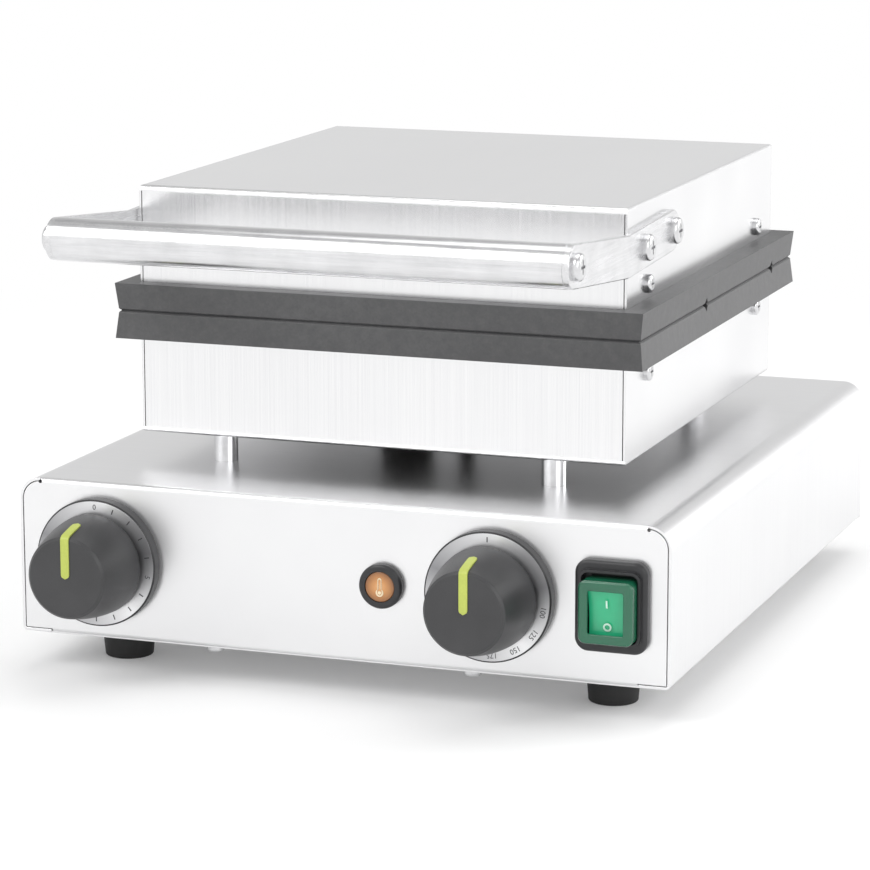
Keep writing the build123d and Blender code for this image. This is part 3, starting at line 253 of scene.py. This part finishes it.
def makeLens(name, centre, radius, stops):
    finish = Finish(name)
    distance = finish.fromPoint(centre)[1]
    cloud = finish.noise(finish.place(), 260.0, 2.0, 0.5)
    colour = finish.ramp(distance * (0.85 / radius) + cloud * 0.15, stops)
    return finish.surface({"Base Color": colour, "Roughness": cloud * 0.1 + 0.14, "Coat Weight": 0.8,
                           "Coat Roughness": 0.06, "Emission Color": colour, "Emission Strength": 0.10})


# Spun scale ring: concentric lines, and a painted reflection: a fan of pale and dark bands painted into the
# colour by angle round the centre, standing in for the highlights that spun metal shows

ringsPerMetre = 6000.0
# painted reflection tones: pale is a painted highlight and the darkest tone is painted shade, in bands set by
# angle round the ring
pale, reflectionGrey, reflectionDark = (0.92, 0.92, 0.93), (0.55, 0.55, 0.56), (0.30, 0.30, 0.31)
paintedReflectionFan = [(0.0, reflectionGrey), (0.12, reflectionDark), (0.24, reflectionGrey), (0.36, pale), (0.46, reflectionGrey), (0.54, reflectionDark), (0.64, reflectionGrey),
            (0.72, pale), (0.84, reflectionGrey), (0.93, reflectionDark), (1.0, reflectionGrey)]


def makeScaleMetal(name, centre):
    finish = Finish(name)
    moved, radius = finish.fromPoint(centre)
    rings = finish.add("ShaderNodeTexNoise", {"noise_dimensions": "1D"},
                       {"W": radius * ringsPerMetre, "Scale": 1.0}).out("Fac")
    axes = finish.add("ShaderNodeSeparateXYZ", {}, {0: moved})
    turn = finish.add("ShaderNodeMath", {"operation": "ARCTAN2"},
                      {0: axes.out("Z"), 1: axes.out("X")}).out("Value")
    # painted reflection: the colour is made lighter and darker by angle round the centre, where the real ring
    # shows reflected highlights
    paintedReflection = finish.ramp(turn * (0.5 / pi) + 0.5, paintedReflectionFan)
    tone = finish.tinted(paintedReflection, finish.ramp(rings, [(0.2, (0.90, 0.90, 0.90)), (0.8, (1.0, 1.0, 1.0))]))
    normal = finish.bump(rings, 0.3, 0.00001)
    return finish.surface({"Base Color": tone, "Metallic": 0.9, "Roughness": 0.26 + rings * 0.1,
                           "Normal": normal})


# Finishes of this machine

alongX, alongY = 0, 1  # axis across which the grain lines are spaced
wrapSteel = makeSheetSteel("housingSteel", alongY, {**sheetSteel, "rough": 0.30})
boxSteel = makeSheetSteel("boxSteel", alongX, sheetSteel)

metalLooks = {
    "hingeSteel": {"rough": 0.34, "tone": (0.62, 0.62, 0.63), "dark": (0.50, 0.50, 0.51),
                   "scale": (300.0, 300.0, 300.0)},
    "handleSteel": {},
    "armSteel": {"rough": 0.26, "scale": (900.0, 30.0, 900.0)},
    "screwSteel": {"rough": 0.24, "tone": (0.70, 0.70, 0.71), "scale": (500.0, 500.0, 500.0)},
    "polishedSteel": {"rough": 0.10, "scale": (300.0, 300.0, 300.0)},
    "heaterSteel": {"rough": 0.42, "tone": (0.30, 0.28, 0.26), "dark": (0.16, 0.14, 0.13), "edge": 0.0002,
                    "scale": (200.0, 200.0, 200.0)},
    "copperTube": {"rough": 0.3, "tone": (0.72, 0.38, 0.24), "dark": (0.45, 0.22, 0.13), "edge": 0.0001,
                   "scale": (300.0, 300.0, 300.0)}}
metal = {name: makeBrightSteel(name, {**brightSteel, **look}) for name, look in metalLooks.items()}
castIron = makeCast("castIron", castLook)

mouldedLooks = {
    "blackPlastic": {"tone": (0.022, 0.022, 0.024), "rough": 0.36, "grain": 1500.0, "depth": 0.00004},
    "knobPlastic": {"tone": (0.042, 0.042, 0.044), "rough": 0.40, "grain": 2600.0, "depth": 0.00005},
    "markerYellow": {"tone": (0.50, 0.57, 0.11), "rough": 0.38, "grain": 900.0, "depth": 0.00003,
                     "variation": 0.08},
    "footRubber": {"tone": (0.018, 0.018, 0.018), "rough": 0.66, "grain": 1400.0, "depth": 0.0001,
                   "variation": 0.3, "edge": 0.0006},
    "printInk": {"tone": (0.05, 0.05, 0.055), "rough": 0.5, "grain": 2000.0, "depth": 0.00001},
    "mineralBoard": {"tone": (0.60, 0.58, 0.53), "rough": 0.85, "grain": 500.0, "depth": 0.0002},
    "terminalPlastic": {"tone": (0.70, 0.69, 0.64), "rough": 0.45, "grain": 900.0, "depth": 0.00004,
                        "variation": 0.06},
    "paleMark": {"tone": (0.66, 0.92, 0.78), "rough": 0.4, "grain": 900.0, "depth": 0.00001,
                 "variation": 0.05},
    "lampIconPale": {"tone": (0.95, 0.80, 0.55), "rough": 0.4, "grain": 900.0, "depth": 0.00001,
                     "variation": 0.05}}
moulded = {name: makePlastic(name, {**plainPlastic, **look}) for name, look in mouldedLooks.items()}
bootGreen = makeClear("bootGreen", (0.010, 0.13, 0.065), 0.94, 0.20, 0.02)
rockerGreen = makeClear("rockerGreen", (0.02, 0.42, 0.20), 1.0, 0.30, 0.22)
lensLow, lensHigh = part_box("lamp_lens")
lensCentre = Vector(((lensLow.x + lensHigh.x) / 2, lensLow.y, (lensLow.z + lensHigh.z) / 2))
lensStops = [(0.0, (0.72, 0.42, 0.20)), (0.40, (0.60, 0.27, 0.08)), (0.75, (0.36, 0.14, 0.03)),
             (1.0, (0.14, 0.05, 0.015))]
amber = makeLens("amberLens", lensCentre, (lensHigh.x - lensLow.x) / 2, lensStops)
dialCentres = {}
for control in ("timer", "thermostat"):
    low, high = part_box(control + "_scale")
    dialCentres[control] = Vector(((low.x + high.x) / 2, low.y, (low.z + high.z) / 2))

coat(["base_shell", "rear_panel", "bottom_plate"], wrapSteel)
coat(["lid_casing", "lower_casing"], boxSteel)
coat(["hinge_base_bracket", "hinge_lid_bracket", "hinge_shaft", "hinge_clips", "hinge_stop_bar"],
     metal["hingeSteel"])
coat(["handle_tube"], metal["handleSteel"])
coat(["handle_arm_left", "handle_arm_right"], metal["armSteel"])
coat(["standoffs"], metal["polishedSteel"])
coat(["handle_end_plugs", "foot_bolts", "panel_screws", "control_screws", "standoff_bolts",
      "lower_clamp_bolts", "lower_casing_screws", "hinge_base_bolts", "upper_clamp_bolts",
      "lid_casing_screws", "hinge_lid_bolts", "handle_end_screws", "handle_arm_screws", "timer_shaft",
      "thermostat_shaft"], metal["screwSteel"])
coat(["lower_plate", "upper_plate"], castIron)
coat(["lower_element", "upper_element", "lower_clamp_plate", "upper_clamp_plate", "thermal_cutout"],
     metal["heaterSteel"])
coat(["lower_insulation", "upper_insulation"], moulded["mineralBoard"])
coat(["feet", "passage_sleeves"], moulded["footRubber"])
coat(["timer_dial", "thermostat_dial", "lamp_bezel", "lamp_body", "switch_bezel", "switch_body",
      "cable_gland", "timer_body", "thermostat_body"], moulded["blackPlastic"])
coat(["timer_knob", "thermostat_knob"], moulded["knobPlastic"])
coat(["timer_marker", "thermostat_marker"], moulded["markerYellow"])
coat(["terminal_block"], moulded["terminalPlastic"])
coat(["capillary"], metal["copperTube"])
coat(["lamp_lens"], amber)
coat(["switch_boot"], bootGreen)
coat(["switch_rocker"], rockerGreen)
scaleMetals = {}
for control, centre in dialCentres.items():
    scaleMetals[control] = makeScaleMetal(control + "ScaleMetal", centre)
    coat([control + "_scale"], scaleMetals[control])
print("finishes on", len(nodes), "nodes")


def softenNormals(piece, angle):
    piece.data.shade_smooth()
    piece.data.set_sharp_from_angle(angle=radians(angle))


smoothAngle = 32
for piece in nodes.values():
    softenNormals(piece, smoothAngle)


# Marks printed on the scale rings

def meshPiece(name, verts, faces, material):
    mesh = bpy.data.meshes.new(name)
    mesh.from_pydata(verts, [], faces)
    mesh.update()
    mesh.materials.append(material)
    piece = bpy.data.objects.new(name, mesh)
    bpy.context.scene.collection.objects.link(piece)
    return piece


def barMesh(width, height, thick):
    x, z = width / 2, height / 2
    corners = [(-x, 0, -z), (x, 0, -z), (x, 0, z), (-x, 0, z)]
    verts = corners + [(a, -thick, c) for a, _, c in corners]
    faces = [(0, 3, 2, 1), (4, 5, 6, 7), (0, 1, 5, 4), (1, 2, 6, 5), (2, 3, 7, 6), (3, 0, 4, 7)]
    return verts, faces


def textMesh(words, height, thick):
    curve = bpy.data.curves.new("label", "FONT")
    curve.body = words
    curve.size = height * 1.38
    curve.align_x = "CENTER"
    curve.align_y = "CENTER"
    curve.extrude = thick / 2
    curve.resolution_u = 3
    holder = bpy.data.objects.new("label", curve)
    bpy.context.scene.collection.objects.link(holder)
    bpy.context.view_layer.update()
    mesh = bpy.data.meshes.new_from_object(holder.evaluated_get(bpy.context.evaluated_depsgraph_get()))
    verts = [(v.co.x, -v.co.z - thick / 2, v.co.y) for v in mesh.vertices]
    faces = [tuple(p.vertices) for p in mesh.polygons]
    bpy.data.objects.remove(holder)
    return verts, faces


def dialMarks(name, control, look, marks):
    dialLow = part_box(control + "_dial")[0]
    centre = Vector((dialCentres[control].x, dialLow.y - look["proud"], dialCentres[control].z))
    verts, faces = [], []
    for angle, words in marks:
        turn = Matrix.Rotation(radians(angle), 3, "Y")
        if words:
            part = textMesh(words, look["digitHeight"], look["thick"])
        else:
            part = barMesh(look["tickWidth"], look["tickLength"], look["thick"])
        shift = Vector((0, 0, look["radius"]))
        base = len(verts)
        verts += [turn @ (Vector(v) + shift) + centre for v in part[0]]
        faces += [tuple(i + base for i in f) for f in part[1]]
    piece = meshPiece(name, verts, faces, moulded["printInk"])
    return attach(piece, "base")


markLook = {"radius": 25.6 * mm, "tickWidth": 0.5 * mm, "tickLength": 2.3 * mm, "digitHeight": 2.5 * mm,
            "thick": 0.06 * mm, "proud": 0.1 * mm}
timerStep = 20
timerMarks = [(i * timerStep, str(i) if i % 5 == 0 else "") for i in range(11)]
heatStep = 25
thermostatMarks = [(0, "")] + [(angle, str(angle)) for angle in range(100, 226, heatStep)]
dialMarks("timer_marks", "timer", markLook, timerMarks)
dialMarks("thermostat_marks", "thermostat", markLook, thermostatMarks)
print("dial marks done")


# Thermometer sign on the lamp lens and the I and O on the rocker

def discOutline(radius, count=20, offset=(0, 0)):
    return [(offset[0] + radius * cos(2 * pi * i / count), offset[1] + radius * sin(2 * pi * i / count))
            for i in range(count)]


def raised(outline, thick, holes=None):
    count = len(outline)
    if holes:
        verts = [(x, 0, z) for x, z in outline] + [(x, -thick, z) for x, z in outline]
        verts += [(x, -thick, z) for x, z in holes] + [(x, 0, z) for x, z in holes]
        faces = []
        for i in range(count):
            j = (i + 1) % count
            faces += [(i, j, j + count, i + count), (i + count, j + count, j + 2 * count, i + 2 * count),
                      (i + 2 * count, j + 2 * count, j + 3 * count, i + 3 * count),
                      (i + 3 * count, j + 3 * count, j, i)]
        return verts, faces
    verts = [(x, 0, z) for x, z in outline] + [(x, -thick, z) for x, z in outline]
    faces = [tuple(range(count))[::-1], tuple(range(count, 2 * count))]
    faces += [(i, (i + 1) % count, (i + 1) % count + count, i + count) for i in range(count)]
    return verts, faces


lampSign = {"bulb": 1.8 * mm, "stem": 1.3 * mm, "height": 6.2 * mm, "line": 0.6 * mm, "thick": 0.15 * mm}


def lampIcon(look):
    bulb, stem, top = look["bulb"], look["stem"], look["height"] / 2
    arcStart = 60
    outline = []
    for i in range(17):
        angle = radians(90 + arcStart / 2 + (360 - arcStart) * i / 16)
        outline.append((bulb * cos(angle), bulb * sin(angle) - top + bulb * 0.3))
    for i in range(9):
        angle = radians(180 * i / 8)
        outline.append((stem * 0.72 * cos(angle), top + stem * 0.72 * sin(angle)))
    shrink = 1 - look["line"] / bulb
    holes = [(x * shrink * 0.9, z * 0.86) for x, z in outline]
    verts, faces = raised(outline, look["thick"], holes)
    piece = meshPiece("lamp_icon", [Vector(v) + lensCentre for v in verts], faces,
                      moulded["lampIconPale"])
    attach(piece, "base")
    verts, faces = raised(discOutline(bulb * 0.45, 14, (0, -top + bulb * 0.3)), look["thick"])
    dot = meshPiece("lamp_icon_bulb", [Vector(v) + lensCentre for v in verts], faces,
                    moulded["lampIconPale"])
    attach(dot, "base")


lampIcon(lampSign)

rockerSign = {"markHeight": 3.4 * mm, "markWidth": 0.8 * mm, "ringOut": 1.9 * mm, "ringIn": 1.1 * mm,
              "onHeight": 4.2 * mm, "offHeight": -6.2 * mm, "thick": 0.25 * mm, "tilt": 7.0,
              "front": 12.3 * mm}


def rockerMarks(look):
    low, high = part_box("switch_rocker")
    middle = Vector(((low.x + high.x) / 2, 0, (low.z + high.z) / 2))
    pivot = [j for j in frame["joints"] if j["child"] == "rocker"][0]["pos_m"]
    turn = Matrix.Rotation(radians(look["tilt"]), 3, "X")
    hub = Vector((middle.x, pivot[1], pivot[2]))
    marks = {"rocker_mark_on": barMesh(look["markWidth"], look["markHeight"], look["thick"]),
             "rocker_mark_off": raised(discOutline(look["ringOut"], 24), look["thick"],
                                       discOutline(look["ringIn"], 24))}
    for name, (verts, faces) in marks.items():
        shift = Vector((0, -look["front"], look["onHeight"] if name.endswith("on") else look["offHeight"]))
        piece = meshPiece(name, [turn @ (Vector(v) + shift) + hub for v in verts], faces,
                          moulded["paleMark"])
        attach(piece, "rocker")


rockerMarks(rockerSign)
print("signs done")


# Pieces swept round a closed loop: sealing frame of the switch and the scale rings

def roundedLoop(width, height, radius, corner=6):
    points = []
    for i, (sx, sz) in enumerate([(1, 1), (-1, 1), (-1, -1), (1, -1)]):
        for k in range(corner + 1):
            angle = radians(90 * i + 90 * k / corner)
            x, z = radius * cos(angle), radius * sin(angle)
            points.append((sx * (width / 2 - radius) + x, sz * (height / 2 - radius) + z))
    return points


def circleLoop(radius, count=96):
    return [(radius * cos(2 * pi * i / count), radius * sin(2 * pi * i / count)) for i in range(count)]


def sweptRing(name, centre, rings, material):
    count = len(rings[0][0])
    verts = [Vector((x, y, z)) + centre for loop, y in rings for x, z in loop]
    faces = []
    for k in range(len(rings)):
        here, there = k * count, (k + 1) % len(rings) * count
        for i in range(count):
            j = (i + 1) % count
            faces.append((here + i, there + i, there + j, here + j))
    piece = meshPiece(name, verts, faces, material)
    softenNormals(piece, smoothAngle)
    return piece


bootFrame = {"width": 24.4 * mm, "height": 27.6 * mm, "corner": 3.2 * mm, "drop": 0.9 * mm,
             "front": 13.0 * mm, "back": 1.6 * mm, "wall": 0.9 * mm, "edge": 1.1 * mm, "windowWidth": 15.8 * mm,
             "windowHeight": 18.8 * mm, "windowCorner": 0.9 * mm, "windowEdge": 0.5 * mm}


def makeBootFrame(look):
    low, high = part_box("switch_boot")
    centre = Vector(((low.x + high.x) / 2, low.y + look["front"], (low.z + high.z) / 2 - look["drop"]))
    front, edge, wall, lip = look["front"], look["edge"], look["wall"], look["windowEdge"]

    def outer(inset):
        return roundedLoop(look["width"] - 2 * inset, look["height"] - 2 * inset, look["corner"] - inset)

    def inner(outset):
        grow = 2 * outset
        return roundedLoop(look["windowWidth"] + grow, look["windowHeight"] + grow,
                           look["windowCorner"] + outset)

    rings = [(outer(0), -look["back"])]
    for i in range(5):
        angle = radians(22.5 * i)
        rings.append((outer(edge * (1 - cos(angle))), -front + edge * (1 - sin(angle))))
    for i in range(4):
        angle = radians(30 * i)
        rings.append((inner(lip * (1 - sin(angle))), -front + lip * (1 - cos(angle))))
    rings += [(inner(0), -front + wall), (outer(wall), -front + wall), (outer(wall), -look["back"])]
    piece = sweptRing("switch_boot_frame", centre, rings, bootGreen)
    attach(piece, "base")
    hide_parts("switch_boot")


makeBootFrame(bootFrame)

scaleRing = {"outer": 28.4 * mm, "inner": 19.5 * mm, "proud": 0.1 * mm, "edge": 0.15 * mm}


def makeScaleRing(control, look):
    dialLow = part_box(control + "_dial")[0]
    centre = Vector((dialCentres[control].x, dialLow.y, dialCentres[control].z))
    front, edge = -look["proud"], look["edge"]
    rings = [(circleLoop(look["outer"]), edge), (circleLoop(look["outer"] - edge), front),
             (circleLoop(look["inner"] + edge), front), (circleLoop(look["inner"]), edge)]
    piece = sweptRing(control + "_scale_ring", centre, rings, scaleMetals[control])
    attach(piece, "base")
    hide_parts(control + "_scale")


# Pointer lines of the knobs: over the face, round its edge and part of the way down the side

pointer = {"width": 3.9 * mm, "relief": 0.5 * mm, "start": 0.2 * mm, "faceRadius": 18.5 * mm,
           "edge": 1.2 * mm, "taper": 0.15, "bulge": 0.9 * mm, "height": 30.0 * mm, "reach": 14.0 * mm,
           "sink": 0.4, "tip": 0.05,
           "faceSteps": 20, "edgeSteps": 4, "sideSteps": 14}


def pointerPath(look):
    flat = look["faceRadius"] - look["edge"]
    faceSteps, edgeSteps, sideSteps = look["faceSteps"], look["edgeSteps"], look["sideSteps"]
    path = [(-look["start"] + (flat + look["start"]) * i / faceSteps, 0.0) for i in range(faceSteps + 1)]
    for i in range(1, edgeSteps + 1):
        angle = radians(90 * i / (edgeSteps + 1))
        path.append((flat + look["edge"] * sin(angle), look["edge"] * (1 - cos(angle))))
    for i in range(sideSteps):
        depth = look["edge"] + (look["reach"] - look["edge"]) * i / (sideSteps - 1)
        share = depth / look["height"]
        swell = 4 * look["bulge"] * share * (1 - share)
        path.append((look["faceRadius"] + depth * look["taper"] + swell, depth))
    return path


def makePointer(control, look):
    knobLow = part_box(control + "_knob")[0]
    centre = Vector((dialCentres[control].x, knobLow.y, dialCentres[control].z))
    path = pointerPath(look)
    half = look["width"] / 2
    lengths = [0.0]
    for (r0, y0), (r1, y1) in zip(path, path[1:]):
        lengths.append(lengths[-1] + ((r1 - r0) ** 2 + (y1 - y0) ** 2) ** 0.5)
    verts, faces = [], []
    for i, (r, y) in enumerate(path):
        near = min(half, lengths[i], lengths[-1] - lengths[i])
        width = max((half ** 2 - (half - near) ** 2) ** 0.5, half * look["tip"])  # narrows to a round end
        before, after = path[max(i - 1, 0)], path[min(i + 1, len(path) - 1)]
        along = Vector((after[0] - before[0], after[1] - before[1])).normalized()
        out = Vector((along.y, -along.x)) * look["relief"]
        for lift in (out, out * -look["sink"]):  # proud of the skirt, and sunk into it
            for side in (-width, width):
                verts.append(centre + Vector((side, y + lift.y, r + lift.x)))
    for i in range(len(path) - 1):
        a, b = 4 * i, 4 * i + 4
        faces += [(a, a + 1, b + 1, b), (a + 2, b + 2, b + 3, a + 3), (a, b, b + 2, a + 2),
                  (a + 1, a + 3, b + 3, b + 1)]
    last = 4 * (len(path) - 1)
    faces += [(0, 2, 3, 1), (last, last + 1, last + 3, last + 2)]
    piece = meshPiece(control + "_pointer", verts, faces, moulded["markerYellow"])
    softenNormals(piece, 40)
    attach(piece, control + "_control")
    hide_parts(control + "_marker")


for control in dialCentres:
    makeScaleRing(control, scaleRing)
    makePointer(control, pointer)
print("switch frame, scale rings and pointers done")


# Floor, world and lamps

studio = {"floorSize": 12.0, "floorTone": 0.93, "glowFloor": 0.12, "floorShine": 1.12, "worldDiffuse": 0.62,
          "zenith": 0.62, "frontWall": 1.12, "backWall": 0.80}


def makeFloor(look):
    half = look["floorSize"] / 2
    floor = meshPiece("floor", [(-half, -half, 0), (half, -half, 0), (half, half, 0), (-half, half, 0)],
                      [(0, 1, 2, 3)], None)
    finish = Finish("paleFloor")
    place = finish.place()
    distance = finish.length(place)
    fade = finish.add("ShaderNodeMapRange", {"interpolation_type": "SMOOTHSTEP"},
                      {"Value": distance, "From Min": 0.35, "From Max": 1.0}).out("Result")
    camera = finish.add("ShaderNodeLightPath").out("Is Camera Ray")
    glossy = finish.add("ShaderNodeLightPath").out("Is Glossy Ray")
    seen = camera + glossy
    tone = look["floorTone"]
    matt = finish.add("ShaderNodeBsdfDiffuse", {}, {"Color": (tone, tone, tone)})
    glow = finish.add("ShaderNodeEmission", {},
                      {"Color": (1, 1, 1), "Strength": camera + glossy * look["floorShine"]})
    share = seen * (fade * (1 - look["glowFloor"]) + look["glowFloor"])
    mix = finish.add("ShaderNodeMixShader", {}, {0: share})
    finish.tree.links.new(matt.node.outputs[0], mix.node.inputs[1])
    finish.tree.links.new(glow.node.outputs[0], mix.node.inputs[2])
    output = finish.add("ShaderNodeOutputMaterial")
    finish.tree.links.new(mix.node.outputs[0], output.node.inputs["Surface"])
    floor.data.materials.clear()
    floor.data.materials.append(finish.material)


def makeWorld(look):
    world = bpy.data.worlds.new("paleStudio")
    bpy.context.scene.world = world
    world.use_nodes = True
    finish = Finish("world", world.node_tree)
    direction = finish.add("ShaderNodeTexCoord").out("Generated")
    axes = finish.add("ShaderNodeSeparateXYZ", {}, {0: direction})
    up = finish.add("ShaderNodeMapRange", {"interpolation_type": "SMOOTHSTEP"},
                    {"Value": axes.out("Z"), "From Min": 0.15, "From Max": 0.95, "To Min": 1.0,
                     "To Max": look["zenith"]}).out("Result")
    wall = finish.add("ShaderNodeMapRange", {"interpolation_type": "SMOOTHSTEP"},
                      {"Value": axes.out("Y"), "From Min": -0.4, "From Max": 0.5, "To Min": look["frontWall"],
                       "To Max": look["backWall"]}).out("Result")
    path = finish.add("ShaderNodeLightPath")
    camera = path.out("Is Camera Ray")
    glossy = path.out("Is Glossy Ray")
    through = path.out("Is Transmission Ray")
    rest = 1 - camera - glossy - through
    strength = camera + through + glossy * (up * wall) + rest * look["worldDiffuse"]
    sky = finish.add("ShaderNodeBackground", {}, {"Color": (1, 1, 1), "Strength": strength})
    output = finish.add("ShaderNodeOutputWorld")
    finish.tree.links.new(sky.node.outputs[0], output.node.inputs["Surface"])


lamps = {"key": {"place": (-1.1, -1.6, 1.9), "size": 1.5, "power": 26.0},
         "fill": {"place": (1.9, -1.2, 1.2), "size": 1.6, "power": 12.0},
         "side": {"place": (1.9, 1.9, 0.9), "size": 1.4, "power": 30.0},
         "top": {"place": (0.2, 0.5, 2.2), "size": 1.8, "power": 16.0}}


def makeLamp(name, look, target):
    data = bpy.data.lights.new(name, "AREA")
    data.shape = "SQUARE"
    data.size = look["size"]
    data.energy = look["power"]
    lamp = bpy.data.objects.new(name, data)
    lamp.location = look["place"]
    lamp.rotation_euler = (target - Vector(look["place"])).to_track_quat("-Z", "Y").to_euler()
    bpy.context.scene.collection.objects.link(lamp)


makeFloor(studio)
makeWorld(studio)
for lampName, lampLook in lamps.items():
    makeLamp(lampName, lampLook, Vector((0, 0, 0.1)))


# Camera where the photographer stood

view = {"place": (0.56218, -1.58654, 0.43196), "tilt": pi / 2 - 0.2027, "roll": 0.0008, "pan": 0.3476,
        "lens": 148.76, "sensor": 36.0}
cameraData = bpy.data.cameras.new("camera")
cameraData.sensor_width = view["sensor"]
cameraData.lens = view["lens"]
cameraData.clip_end = 50
camera = bpy.data.objects.new("camera", cameraData)
camera.location = view["place"]
camera.rotation_euler = (view["tilt"], view["roll"], view["pan"])
bpy.context.scene.collection.objects.link(camera)
bpy.context.scene.camera = camera
bpy.context.scene.view_settings.view_transform = "Standard"
print("studio done")
